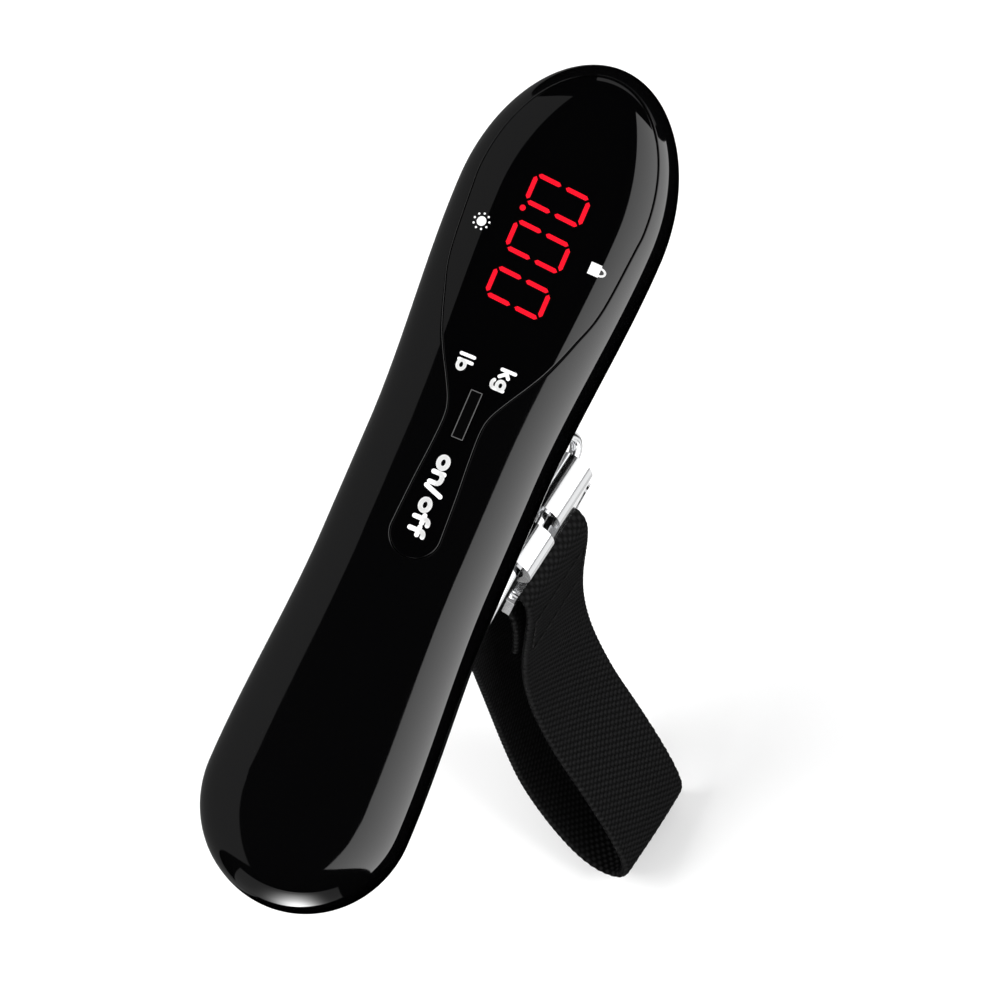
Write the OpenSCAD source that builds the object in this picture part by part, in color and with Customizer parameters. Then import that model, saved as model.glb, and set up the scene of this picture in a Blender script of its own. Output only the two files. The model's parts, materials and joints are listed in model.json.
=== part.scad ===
// Hand-held digital luggage scale with a hanging webbing loop.
// Millimetres. X runs along the handle towards the display head, Z is up through
// the display face, and the origin is the middle of the hand grip on the seam.

/* [Handle body] */
// Overall length of the handle
body_len = 152; // [146:1:158]
// Width across the display head
head_w = 36.4; // [35.6:0.2:37.6]
// Width across the waist
waist_w = 31.6; // [31:0.2:32.6]
// Width across the battery end
tail_w = 35.6; // [35:0.2:36.8]
// Height of the face above the seam
front_h = 9; // [8.8:0.1:9.6]
// Depth of the back below the seam
rear_h = 13; // [12.8:0.1:13.6]
// Thickness of the moulded shells
wall_t = 1.8; // [1.7:0.05:1.9]
// Exponent of the rounded cross-section: 2 is an ellipse, higher is boxier
section_n = 3; // [2.8:0.1:3.2]

/* [Display panel] */
// Half-width of the panel's round head
panel_head_r = 14.8; // [14.4:0.1:15]
// Half-width of the panel's neck
panel_neck_r = 3.25; // [3.1:0.05:3.4]
// Half-width of the panel's stem at its end
panel_stem_r = 4.3; // [4.1:0.05:4.4]
// Thickness of the panel
panel_t = 1.3; // [1.2:0.05:1.4]
// Height of one digit
digit_h = 10.6; // [10.2:0.1:10.8]
// Spacing of the digits
digit_pitch = 8.45; // [8.2:0.05:8.6]

/* [Load ring and strap] */
// Place of the load hook along the handle
hanger_x = 4; // [3.6:0.1:4.6]
// Diameter of the ring's wire
wire_d = 2.2; // [2:0.1:2.3]
// Overall length of the ring's lower bar
ring_w = 42.4; // [42:0.1:43]
// Drop from the ring's hanging point to its lower bar
ring_drop = 22; // [21.5:0.1:23]
// Width of the webbing
strap_w = 20; // [19:0.5:20]
// Thickness of the webbing
strap_t = 1.6; // [1.4:0.1:1.6]
// Lean of the ring towards the battery end, degrees
lean = 8; // [6:1:10]
// Further lean of the plates and the strap on the ring's bar, degrees
plate_cant = 10; // [8:0.5:10.5]
// Swing of the ring to the side, degrees
ring_swing = 30; // [28:1:31]
// Swing of the strap to the side, degrees
strap_swing = 17; // [16:1:18]

/* [Hidden] */

gap = 0.15;
head_x = 49;
tail_x = -57.4;
waist_x0 = -15;
waist_x1 = 5;
head_a = body_len / 2 - head_x;
tail_a = body_len / 2 + tail_x;

// ---------- shared shapes ----------

function smooth(u) = u * u * (3 - 2 * u);

// Half-width of the handle between its two round ends
function side_w(x) =
    x > waist_x1 ? waist_w / 2 + (head_w - waist_w) / 2 * smooth((x - waist_x1) / (head_x - waist_x1))
    : x < waist_x0 ? waist_w / 2 + (tail_w - waist_w) / 2 * smooth((waist_x0 - x) / (waist_x0 - tail_x))
    : waist_w / 2;

// Points round the handle seen from above, drawn inward by t, anticlockwise
function handle_outline(t) = concat(
    [for (a = [-90:15:89]) [head_x + (head_a - t) * cos(a), (head_w / 2 - t) * sin(a)]],
    [for (i = [0:9]) let (x = head_x + (tail_x - head_x) * i / 10) [x, side_w(x) - t]],
    [for (a = [90:15:269]) [tail_x + (tail_a - t) * cos(a), (tail_w / 2 - t) * sin(a)]],
    [for (i = [0:9]) let (x = tail_x + (head_x - tail_x) * i / 10) [x, t - side_w(x)]]);

// Rounded profile of half-width w and height h, from the angle q0 to the angle q1
function round_profile(c, w, h, q0, q1) =
    [for (q = [q0:10:q1])
        [c + sign(cos(q)) * w * pow(abs(cos(q)), 2 / section_n), h * pow(sin(q), 2 / section_n)]];

// Closed solid through a list of equal rings, with flat ends
module skin(rings, flip = false) {
    n = len(rings[0]);
    m = len(rings);
    sides = [for (i = [0:m - 2], j = [0:n - 1])
        let (a = i * n + j, b = i * n + (j + 1) % n, c = a + n, d = b + n)
        each [[a, c, b], [b, c, d]]];
    ends = [[for (j = [0:n - 1]) j], [for (j = [n - 1:-1:0]) (m - 1) * n + j]];
    faces = concat(sides, ends);
    polyhedron(points = [for (r = rings) each r],
               faces = flip ? [for (f = faces) [for (i = [len(f) - 1:-1:0]) f[i]]] : faces,
               convexity = 8);
}

// Solid handle drawn inward by t, above the seam, and reaching past it by over
module handle_solid(t, h, over) {
    reach = body_len / 2 + 4;
    full_w = head_w / 2 + 0.3 - t;
    top = h - t;
    intersection() {
        translate([0, 0, -over]) linear_extrude(top + over + 1) polygon(handle_outline(t));
        translate([-reach, 0, 0]) rotate([90, 0, 90]) linear_extrude(2 * reach)
            polygon(concat([[full_w, -over]], round_profile(0, full_w, top, 0, 180), [[-full_w, -over]]));
        translate([0, reach, 0]) rotate([90, 0, 0]) linear_extrude(2 * reach)
            polygon(concat([[head_x + head_a + 0.3 - t, -over]],
                           round_profile(head_x, head_a + 0.3 - t, top, 0, 80),
                           round_profile(tail_x, tail_a + 0.3 - t, top, 100, 180),
                           [[tail_x - tail_a - 0.3 + t, -over]]));
    }
}

// Rounded layer of the handle from depth t0 to depth t1, above (h > 0) or below the seam
module handle_layer(t0, t1, h) {
    mirror([0, 0, h > 0 ? 0 : 1]) difference() {
        handle_solid(t0, abs(h), 0);
        handle_solid(t1, abs(h), 1);
    }
}

// Outline of the keyhole-shaped display panel, grown by g
module panel_outline(g) {
    head_c = 50;
    head_len = 23;
    stem_end = -14.4;
    side = [[36.2, 13.6], [29.2, 11.65], [23.6, 9.65], [19.8, 7.8], [15.6, 5.4], [12.4, 3.8],
            [9.6, panel_neck_r], [4.4, 3.42], [-2.2, 3.9]];
    upper = concat(
        [for (a = [0:7.5:90]) [head_c + (head_len + g) * cos(a), (panel_head_r + g) * sin(a)]],
        [for (p = side) [p[0], p[1] + g]],
        [for (a = [90:15:180]) [stem_end + panel_stem_r + (panel_stem_r + g) * cos(a),
                                (panel_stem_r + g) * sin(a)]]);
    lower = [for (i = [len(upper) - 2:-1:1]) [upper[i][0], -upper[i][1]]];
    polygon(concat(upper, lower));
}

// Straight length of wire from p to q, let a little way into the bend at each end
module wire(p, q, d) {
    v = q - p;
    let_in = 0.2;
    shrink = 0.02;
    translate(p)
    rotate([0, acos(v[2] / norm(v)), atan2(v[1], v[0])])
    translate([0, 0, -let_in])
    cylinder(h = norm(v) + 2 * let_in, d = d - shrink, $fn = 32);
}

// Tube of diameter d swept along a list of points
module swept_tube(path, d, sides = 8) {
    n = len(path);
    rings = [for (i = [0:n - 1])
        let (t = path[min(i + 1, n - 1)] - path[max(i - 1, 0)],
             dir = t / norm(t),
             up = abs(dir[2]) > 0.9 ? [0, 1, 0] : [0, 0, 1],
             s = cross(up, dir) / norm(cross(up, dir)),
             w = cross(dir, s))
        [for (j = [0:sides - 1]) path[i] + d / 2 * (cos(360 * j / sides) * s + sin(360 * j / sides) * w)]];
    skin(rings, flip = true);
}

// Smooth curve through control points, with k steps for each stretch
function curve_point(a, b, c, d, u) =
    0.5 * ((2 * b) + (c - a) * u + (2 * a - 5 * b + 4 * c - d) * u * u + (3 * b - a - 3 * c + d) * u * u * u);
function smooth_path(p, k) = let (n = len(p)) concat(
    [for (i = [0:n - 2], j = [0:k - 1])
        curve_point(p[max(i - 1, 0)], p[i], p[i + 1], p[min(i + 2, n - 1)], j / k)],
    [p[n - 1]]);

// ---------- handle shells ----------

shell_screw_at = [[52, 11.9], [52, -11.9], [-16, 10.7], [-16, -10.7]];
screw_seat_z = -5;
key_x = 11.3;
key_len = 8.8;
key_w = 2.3;
cover_x = -20;
cover_half_w = 11.5;
beam_screw_x = [30.5, 37.5];

module panel_ledge() {
    ledge_in = 1.2;
    ledge_out = 1;
    intersection() {
        handle_layer(panel_t + 0.1, panel_t + 1.1, front_h);
        linear_extrude(front_h)
        difference() {
            panel_outline(ledge_out);
            panel_outline(-ledge_in);
        }
    }
}

module front_shell() color([0.02, 0.02, 0.022]) {
    boss_r = 2.4;
    pilot_r = 1.05;
    difference() {
        union() {
            difference() {
                handle_layer(0, wall_t, front_h);
                linear_extrude(front_h + 1) panel_outline(gap);
            }
            panel_ledge();
            for (p = shell_screw_at) translate([p[0], p[1], 0.1]) cylinder(h = 6.2, r = boss_r, $fn = 32);
        }
        for (p = shell_screw_at) translate([p[0], p[1], -1]) cylinder(h = 6.6, r = pilot_r, $fn = 32);
    }
}

module rear_shell() color([0.02, 0.02, 0.022]) {
    post_r = 2.4;
    head_bore_r = 2.2;
    shank_bore_r = 1.2;
    port_r = 3;
    bulkhead_x = -68.6;
    difference() {
        union() {
            difference() {
                handle_layer(0, wall_t, -rear_h);
                translate([cover_x - 80, -cover_half_w - gap, -rear_h - 1])
                    cube([80 + gap, 2 * (cover_half_w + gap), rear_h + 2]);
            }
            for (p = shell_screw_at) translate([p[0], p[1], -10.2]) cylinder(h = 10.1, r = post_r, $fn = 32);
            translate([bulkhead_x, -13.2, -8.8]) cube([1.4, 26.4, 8.6]);
            translate([cover_x + 0.5, -13.4, -10.2]) cube([1.2, 26.8, 10]);
            translate([28, -6, -11.6]) cube([12, 12, 1.4]);
        }
        for (p = shell_screw_at) translate([p[0], p[1], 0]) {
            translate([0, 0, -rear_h - 1]) cylinder(h = rear_h + 1 + screw_seat_z, r = head_bore_r, $fn = 32);
            translate([0, 0, -rear_h]) cylinder(h = rear_h + 1, r = shank_bore_r, $fn = 32);
        }
        for (x = beam_screw_x) translate([x, 0, -rear_h - 1]) {
            cylinder(h = 2.3, r = 3.3, $fn = 32);
            cylinder(h = 5, r = 2.1, $fn = 32);
        }
        translate([hanger_x, 0, -rear_h - 1]) cylinder(h = 4, r = port_r, $fn = 48);
    }
}

module battery_cover() color([0.02, 0.02, 0.022]) {
    intersection() {
        handle_layer(0, wall_t, -rear_h);
        translate([cover_x - 80, -cover_half_w, -rear_h - 1])
            cube([80, 2 * cover_half_w, rear_h + 0.85]);
    }
}

// ---------- display and keys ----------

module display_panel() color([0.01, 0.01, 0.012]) difference() {
    intersection() {
        handle_layer(0, panel_t, front_h);
        linear_extrude(front_h + 1) panel_outline(0);
    }
    translate([key_x - key_len / 2 - 0.12, -key_w / 2 - 0.12, 0])
        cube([key_len + 0.24, key_w + 0.24, front_h + 1]);
}

board_top = 2.4;
board_t = 1.6;
module_x = 41.9;
module_top = 6.5;

module digit_module() color([0.08, 0.08, 0.08]) {
    translate([module_x - 14, -7, board_top]) cube([28, 14, module_top - board_top]);
}

// One six-segment zero lying across the handle; bars are slanted like the real digits
module digit_zero() {
    w = 4.7;
    bar = 0.75;
    slant = 5;
    multmatrix([[1, tan(slant), 0, 0], [0, 1, 0, 0], [0, 0, 1, 0]]) {
        for (sy = [-1, 1]) {
            translate([-w / 2 + bar, sy * (digit_h - bar) / 2 - bar / 2, 0]) cube([w - 2 * bar, bar, 0.3]);
            for (sx = [-1, 1])
                translate([sx * (w - bar) / 2 - bar / 2, sy * digit_h / 4 - (digit_h / 2 - 2 * bar) / 2, 0])
                    cube([bar, digit_h / 2 - 2 * bar, 0.3]);
        }
    }
}

module digit_segments() color([1, 0.05, 0.08]) {
    point_r = 0.6;
    translate([module_x, 0.25, module_top]) {
        for (i = [-1:1]) translate([i * digit_pitch, 0, 0]) digit_zero();
        translate([digit_pitch / 2, digit_h / 2 - point_r, 0]) cylinder(h = 0.3, r = point_r, $fn = 24);
    }
}

module indicator_leds() color([0.95, 0.95, 0.9]) {
    led_at = [[42.5, 8.1], [42.5, -8.1], [20.5, 2.9], [20.5, -2.9]];
    for (p = led_at) translate([p[0] - 0.8, p[1] - 0.4, board_top]) cube([1.6, 0.8, 0.6]);
}

module unit_key() color([0.02, 0.02, 0.022]) {
    flange_z = front_h - panel_t - 0.9;
    translate([key_x - key_len / 2, -key_w / 2, flange_z]) cube([key_len, key_w, front_h - 0.05 - flange_z]);
    translate([key_x - key_len / 2 - 0.5, -key_w / 2 - 0.5, flange_z]) cube([key_len + 1, key_w + 1, 0.6]);
}

module unit_switch() color([0.75, 0.75, 0.78]) {
    translate([key_x - 2.25, -2.25, board_top]) cube([4.5, 4.5, 3]);
    translate([key_x, 0, board_top + 3]) cylinder(h = 0.75, r = 1.1, $fn = 32);
}

module touch_spring() color([0.8, 0.78, 0.7]) translate([-3, 0, board_top]) {
    difference() {
        cylinder(h = front_h - panel_t - 0.15 - board_top, r = 2.4, $fn = 40);
        translate([0, 0, -1]) cylinder(h = front_h, r = 1.9, $fn = 40);
    }
}

module main_board() color([0.05, 0.28, 0.12]) {
    translate([-12, -8.6, board_top - board_t]) cube([71, 17.2, board_t]);
}

module board_chips() color([0.1, 0.1, 0.1]) {
    chip_at = [[47, 0, 7], [55, 3, 4], [55, -4, 3]];
    for (c = chip_at) translate([c[0] - c[2] / 2, c[1] - c[2] / 2, board_top - board_t - 1.1])
        cube([c[2], c[2], 1.1]);
    translate([-8.5, -1.2, board_top]) cube([1.6, 2.4, 0.7]);
}

// ---------- load cell ----------

beam_x = [-3, 40];
beam_z = [-10.2, -0.7];
gauge_x = [14.5, 25.5];

module load_beam() color([0.75, 0.76, 0.78]) {
    mid_z = (beam_z[0] + beam_z[1]) / 2;
    bore_r = 3.2;
    difference() {
        translate([beam_x[0], -6, beam_z[0]]) cube([beam_x[1] - beam_x[0], 12, beam_z[1] - beam_z[0]]);
        for (x = gauge_x) translate([x, -7, mid_z]) rotate([-90, 0, 0]) cylinder(h = 14, r = bore_r, $fn = 40);
        translate([gauge_x[0], -7, mid_z - 1]) cube([gauge_x[1] - gauge_x[0], 14, 2]);
        for (x = beam_screw_x) translate([x, 0, beam_z[0] - 1]) cylinder(h = 12, r = 2.05, $fn = 32);
        translate([hanger_x, 0, beam_z[0] - 1]) cylinder(h = 12, r = 2.1, $fn = 32);
        translate([hanger_x, 0, beam_z[1] - 3.2]) cylinder(h = 4, r = 4.3, $fn = 40);
    }
}

module strain_gauges() color([0.8, 0.55, 0.2]) {
    for (x = gauge_x, z = [beam_z[0] - 0.25, beam_z[1]])
        translate([x - 2.5, -2, z]) cube([5, 4, 0.25]);
}

module beam_screws() color([0.7, 0.7, 0.72]) {
    for (x = beam_screw_x) translate([x, 0, 0]) {
        translate([0, 0, -rear_h + 0.1]) cylinder(h = 1.2, r = 3.1, $fn = 32);
        translate([0, 0, -rear_h + 1.2]) cylinder(h = 9.4, r = 2, $fn = 32);
    }
}

eye_z = -19.7;
eye_r = 3.9;

module load_hook() color([0.8, 0.8, 0.82]) difference() {
    eye_rim = 2.1;
    eye_t = 2.4;
    union() {
        translate([hanger_x, 0, eye_z]) rotate([0, 90, 0])
            cylinder(h = eye_t, r = eye_r + eye_rim, center = true, $fn = 64);
        translate([hanger_x, 0, eye_z + eye_r + 1]) cylinder(h = -1.1 - eye_z - eye_r - 1, r = 2, $fn = 32);
    }
    translate([hanger_x, 0, eye_z]) rotate([0, 90, 0]) cylinder(h = 9, r = eye_r, center = true, $fn = 64);
}

module load_hook_nut() color([0.7, 0.7, 0.72]) translate([hanger_x, 0, beam_z[1] - 3.1]) difference() {
    cylinder(h = 2.6, r = 3.9, $fn = 6);
    translate([0, 0, -1]) cylinder(h = 5, r = 2.05, $fn = 32);
}

module shell_screws() color([0.6, 0.6, 0.62]) {
    for (p = shell_screw_at) translate([p[0], p[1], screw_seat_z]) {
        translate([0, 0, -1.3]) cylinder(h = 1.3, r = 2, $fn = 32);
        cylinder(h = 9.8, r = 1, $fn = 32);
    }
}

// ---------- battery bay ----------

cell_r = 5.2;
cell_y = 5.6;
cell_z = -5;
cell_x0 = -65.4;
cell_len = 43.3;

// One cell with its raised button; dir is 1 when the button points to the head
module cell(y, dir) {
    body_from = dir > 0 ? cell_x0 : cell_x0 + 1;
    translate([body_from, y, cell_z]) rotate([0, 90, 0]) cylinder(h = cell_len, r = cell_r, $fn = 48);
    translate([dir > 0 ? body_from + cell_len : cell_x0, y, cell_z]) rotate([0, 90, 0])
        cylinder(h = 1, r = 1.9, $fn = 32);
}

module battery_left() color([0.1, 0.25, 0.5]) cell(cell_y, 1);
module battery_right() color([0.1, 0.25, 0.5]) cell(-cell_y, -1);

module battery_springs() color([0.8, 0.8, 0.82]) {
    head_end = cell_x0 + cell_len + 1;
    translate([head_end + 0.15, -cell_y, cell_z]) rotate([0, 90, 0]) difference() {
        cylinder(h = 0.8, r1 = 2.2, r2 = 3.4, $fn = 40);
        translate([0, 0, -0.1]) cylinder(h = 1, r1 = 1.5, r2 = 2.7, $fn = 40);
    }
    translate([head_end + 0.95, -cell_y - 3.5, cell_z - 3.5]) cube([0.35, 7, 7]);
}

module battery_tabs() color([0.8, 0.8, 0.82]) {
    translate([cell_x0 + cell_len + 1.15, cell_y - 3.5, cell_z - 3.5]) cube([0.35, 7, 7]);
}

module battery_bridge() color([0.8, 0.8, 0.82]) {
    translate([cell_x0 - 0.6, -cell_y - 3.5, cell_z - 3.3]) cube([0.35, 2 * cell_y + 7, 6.6]);
}

// Routes of the two supply leads, from the contacts to the board
red_route = [[-20.6, 5.6, -0.2], [-18.9, 5.6, 0.7], [-15.4, 5.2, 1], [-12.8, 4.6, 1.4]];
black_route = [[-20.6, -5.6, -0.2], [-18.9, -5.6, 0.7], [-15.4, -5.2, 1], [-12.8, -4.6, 1.4]];

module battery_lead_red() color([0.8, 0.05, 0.05]) swept_tube(smooth_path(red_route, 4), 0.9);
module battery_lead_black() color([0.05, 0.05, 0.05]) swept_tube(smooth_path(black_route, 4), 0.9);

// ---------- ring, plates and strap ----------

eye_clear = 0.65;
pivot_z = eye_z - (eye_r - wire_d / 2 - eye_clear);

// Places the ring: its hanging point is the local origin and its bar lies along local X
module at_ring() {
    translate([hanger_x, 0, pivot_z]) rotate([-ring_swing, 0, 0]) rotate([0, lean, 0]) children();
}

// Places what hangs on the ring's lower bar: the bar lies along local X
module at_bar() {
    at_ring() translate([0, 0, -ring_drop]) rotate([ring_swing - strap_swing, 0, 0]) children();
}

module corner_arc(centre, r, from, to) {
    translate([centre[0], 0, centre[1]]) rotate([90, 0, 0]) rotate([0, 0, from])
        rotate_extrude(angle = to - from, $fn = 64) translate([r, 0]) circle(d = wire_d, $fn = 32);
}

module load_ring() color([0.85, 0.86, 0.88]) at_ring() {
    apex_r = 4.2;
    foot_r = 2.6;
    foot = [ring_w / 2 - wire_d / 2 - foot_r, -ring_drop + foot_r];
    apex = [0, -apex_r];
    span = foot - apex;
    turn = asin((apex_r - foot_r) / norm(span));
    out = atan2(span[1], span[0]) + 90 - turn;
    corner_arc(apex, apex_r, out, 180 - out);
    corner_arc(foot, foot_r, -90, out);
    corner_arc([-foot[0], foot[1]], foot_r, 180 - out, 270);
    for (s = [-1, 1])
        wire([s * (apex[0] + apex_r * cos(out)), 0, apex[1] + apex_r * sin(out)],
             [s * (foot[0] + foot_r * cos(out)), 0, foot[1] + foot_r * sin(out)], wire_d);
    wire([-foot[0], 0, -ring_drop], [foot[0], 0, -ring_drop], wire_d);
}

plate_t = 1.5;
curl_in = 2.35;
blank_out = curl_in + plate_t / 2;
hook_x = 8.6;
anchor_x = -1;
bar_half_h = 1.1;
slot_h = 2.8;
hook_bar_at = [6.72, 22];
anchor_bar_at = [6.05, 8.5];

// Length of a plate from the ring's bar to its own cross bar
function plate_reach(p) = sqrt(p * p - blank_out * blank_out);

// Flat part of a plate, hanging down local Z, with its slot and cross bar
module plate_blank(reach, eye_from, eye_to, eye_top, neck_w, foot_w, ears) {
    slot_w = strap_w + 0.8;
    slot_top = reach - bar_half_h - slot_h;
    shoulder = slot_top - 2;
    rotate([90, 0, 0]) linear_extrude(plate_t, center = true) difference() {
        union() {
            polygon([[eye_from, eye_top], [eye_from, eye_top - 1.5], [-neck_w / 2, -shoulder - 1],
                     [neck_w / 2, -shoulder - 1], [eye_to, eye_top - 1.5], [eye_to, eye_top]]);
            translate([-foot_w / 2, -reach - bar_half_h])
                square([foot_w, bar_half_h * 2 + slot_h + 2]);
            if (ears) for (s = [-1, 1]) hull() {
                translate([s * (foot_w / 2 - 1.1), -shoulder - 1.1]) circle(r = 1.1, $fn = 24);
                translate([s * (foot_w / 2 + 0.1), -shoulder + 1.6]) circle(r = 1.1, $fn = 24);
            }
        }
        translate([-slot_w / 2, -slot_top - slot_h]) square([slot_w, slot_h]);
    }
}

// Rolled eye round the bar, from the far side over the top through the angle turn
module rolled_eye(w, turn) {
    rotate([90, 0, 0]) rotate([0, 90, 0]) translate([0, 0, -w / 2])
        rotate_extrude(angle = turn, $fn = 64) translate([curl_in, 0]) square([plate_t, w]);
}

module hook_plate() color([0.85, 0.86, 0.88]) {
    eye_w = 11;
    eye_x = 2.5;
    curl_turn = 220;
    tilt = atan2(hook_bar_at[0], hook_bar_at[1]) + asin(blank_out / norm(hook_bar_at));
    at_bar() translate([hook_x, 0, 0]) rotate([0, plate_cant, 0]) {
        eye_at = [eye_x * cos(plate_cant), 0, floor(100 * eye_x * sin(plate_cant)) / 100];
        rotate([tilt, 0, 0])
            translate([0, -blank_out, 0])
            plate_blank(plate_reach(hook_bar_at), eye_at[0] - eye_w / 2, eye_at[0] + eye_w / 2,
                        eye_at[2], 14.6, 24, true);
        rotate([tilt, 0, 0]) translate(eye_at) mirror([0, 1, 0]) rolled_eye(eye_w, curl_turn);
    }
}

module anchor_plate() color([0.85, 0.86, 0.88]) {
    eye_w = 8;
    curl_turn = 300;
    tilt = atan2(anchor_bar_at[0], anchor_bar_at[1]) - asin(blank_out / norm(anchor_bar_at));
    at_bar() translate([anchor_x, 0, 0]) rotate([0, plate_cant, 0]) rotate([tilt, 0, 0]) {
        translate([0, blank_out, 0])
            plate_blank(plate_reach(anchor_bar_at), -eye_w / 2, eye_w / 2, 0, 14, 23.6, false);
        rolled_eye(eye_w, curl_turn);
    }
}

// Route of the webbing beside the bar: distance towards the far side, then distance down
strap_route = [[11.2, 42], [9.6, 36], [8.7, 30.5], [9, 26.5], [9.25, 22.8], [8.7, 20.1], [7.2, 18.9],
    [5.35, 19.6], [4.15, 21.4], [4.1, 24.2], [5.2, 29], [7, 35], [9.2, 42.5], [10.9, 50],
    [11.8, 58], [11.7, 66], [10.4, 76], [7.9, 86], [5.6, 96], [4.2, 105], [4.3, 111.5],
    [6.6, 115.4], [10.6, 116], [14.2, 113.6], [17.2, 108.5], [19.9, 101], [21.8, 92],
    [22.3, 81.5], [21.7, 70], [20.5, 58], [18.9, 46.5], [17.1, 36], [15.2, 27.5], [13.3, 20],
    [11, 13.2], [9.1, 8.6], [7.5, 6.1], [5.3, 5.95], [3.75, 7.5], [3.6, 9.8], [4.9, 12.4],
    [7, 15], [9.6, 18.2], [11.6, 22.5], [13.1, 27.5]];

module strap_webbing() color([0.04, 0.04, 0.04]) {
    path = smooth_path(strap_route, 2);
    n = len(path);
    shift_from = 0.6;
    shift_over = 0.2;
    rings = [for (i = [0:n - 1])
        let (t = path[min(i + 1, n - 1)] - path[max(i - 1, 0)],
             side = [t[1], -t[0]] / norm(t) * strap_t / 2,
             u = min(max((i / (n - 1) - shift_from) / shift_over, 0), 1),
             x = hook_x + (anchor_x - hook_x) * smooth(u))
        [for (c = [[-1, 1], [1, 1], [1, -1], [-1, -1]])
            let (e = c[0] * strap_w / 2, q = path[i] + c[1] * side)
            [x + e * cos(plate_cant) - q[1] * sin(plate_cant), q[0],
             -e * sin(plate_cant) - q[1] * cos(plate_cant)]]];
    at_bar() skin(rings);
}

front_shell();
rear_shell();
display_panel();
digit_module();
digit_segments();
indicator_leds();
unit_key();
unit_switch();
touch_spring();
main_board();
board_chips();
load_beam();
strain_gauges();
beam_screws();
load_hook();
load_hook_nut();
shell_screws();
battery_left();
battery_right();
battery_springs();
battery_tabs();
battery_bridge();
battery_cover();
battery_lead_red();
battery_lead_black();
load_ring();
hook_plate();
anchor_plate();
strap_webbing();
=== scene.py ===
import json
import math

import bmesh
import bpy
import numpy as np
from mathutils import Matrix, Vector


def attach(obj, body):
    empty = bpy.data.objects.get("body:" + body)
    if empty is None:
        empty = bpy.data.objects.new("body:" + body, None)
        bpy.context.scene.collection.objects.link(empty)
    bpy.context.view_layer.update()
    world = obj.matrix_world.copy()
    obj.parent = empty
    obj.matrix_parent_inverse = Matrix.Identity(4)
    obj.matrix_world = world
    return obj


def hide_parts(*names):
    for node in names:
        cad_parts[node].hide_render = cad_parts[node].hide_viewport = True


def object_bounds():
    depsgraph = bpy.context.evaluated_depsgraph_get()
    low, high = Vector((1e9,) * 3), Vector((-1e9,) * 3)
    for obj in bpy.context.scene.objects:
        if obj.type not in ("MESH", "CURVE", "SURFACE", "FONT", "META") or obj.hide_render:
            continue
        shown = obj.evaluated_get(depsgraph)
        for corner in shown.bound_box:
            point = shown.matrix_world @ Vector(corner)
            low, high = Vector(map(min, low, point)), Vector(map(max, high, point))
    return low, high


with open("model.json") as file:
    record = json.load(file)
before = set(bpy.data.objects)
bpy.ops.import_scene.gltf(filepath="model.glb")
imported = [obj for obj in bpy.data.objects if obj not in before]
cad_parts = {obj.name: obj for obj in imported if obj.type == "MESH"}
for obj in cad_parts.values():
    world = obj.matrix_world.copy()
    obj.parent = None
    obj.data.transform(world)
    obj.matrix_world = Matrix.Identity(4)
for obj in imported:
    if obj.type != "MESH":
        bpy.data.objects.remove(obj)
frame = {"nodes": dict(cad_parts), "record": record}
cad_low, cad_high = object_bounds()
MM = 0.001

# ---------------------------------------------------------------- handle form
HEAD_X, TAIL_X = 49.0, -57.4
HEAD_A, TAIL_A = 27.0, 18.6
HEAD_W, WAIST_W, TAIL_W = 18.2, 15.8, 17.8
WAIST_X0, WAIST_X1 = -15.0, 5.0
FRONT_H, REAR_H = 9.0, 13.0
POWER = 3.0


def smooth(u):
    u = np.clip(u, 0, 1)
    return u * u * (3 - 2 * u)


def side_w(x):
    x = np.asarray(x, float)
    head = WAIST_W + (HEAD_W - WAIST_W) * smooth((x - WAIST_X1) / (HEAD_X - WAIST_X1))
    tail = WAIST_W + (TAIL_W - WAIST_W) * smooth((WAIST_X0 - x) / (WAIST_X0 - TAIL_X))
    return np.where(x > WAIST_X1, head, np.where(x < WAIST_X0, tail, WAIST_W))


def share(x, y):
    """How far out a point lies: 0 on the spine, 1 on the outline."""
    x, y = np.asarray(x, float), np.asarray(y, float)
    mid = np.abs(y) / side_w(np.clip(x, TAIL_X, HEAD_X))
    head = np.hypot((x - HEAD_X) / HEAD_A, y / HEAD_W)
    tail = np.hypot((x - TAIL_X) / TAIL_A, y / TAIL_W)
    return np.where(x > HEAD_X, head, np.where(x < TAIL_X, tail, mid))


def height(x, y, h=FRONT_H):
    k = np.clip(share(x, y), 0, 1)
    return h * (1 - k ** POWER) ** (1 / POWER)


FINE = 400


def outline(n):
    """n points round the handle from above, anticlockwise, evenly spaced."""
    fine = [[HEAD_X + HEAD_A * math.cos(a), HEAD_W * math.sin(a)]
            for a in np.linspace(-math.pi / 2, math.pi / 2, FINE)[:-1]]
    xs = np.linspace(HEAD_X, TAIL_X, FINE)[:-1]
    fine += [[x, float(side_w(x))] for x in xs]
    fine += [[TAIL_X + TAIL_A * math.cos(a), TAIL_W * math.sin(a)]
             for a in np.linspace(math.pi / 2, 3 * math.pi / 2, FINE)[:-1]]
    fine += [[x, -float(side_w(x))] for x in xs[::-1]]
    return evenly(np.array(fine), n, closed=True)


def evenly(points, n, closed=False):
    p = np.vstack([points, points[:1]]) if closed else np.asarray(points, float)
    d = np.concatenate([[0], np.cumsum(np.linalg.norm(np.diff(p, axis=0), axis=1))])
    at = np.linspace(0, d[-1], n + 1)[:-1] if closed else np.linspace(0, d[-1], n)
    return np.array([np.interp(at, d, p[:, i]) for i in range(p.shape[1])]).T


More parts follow.
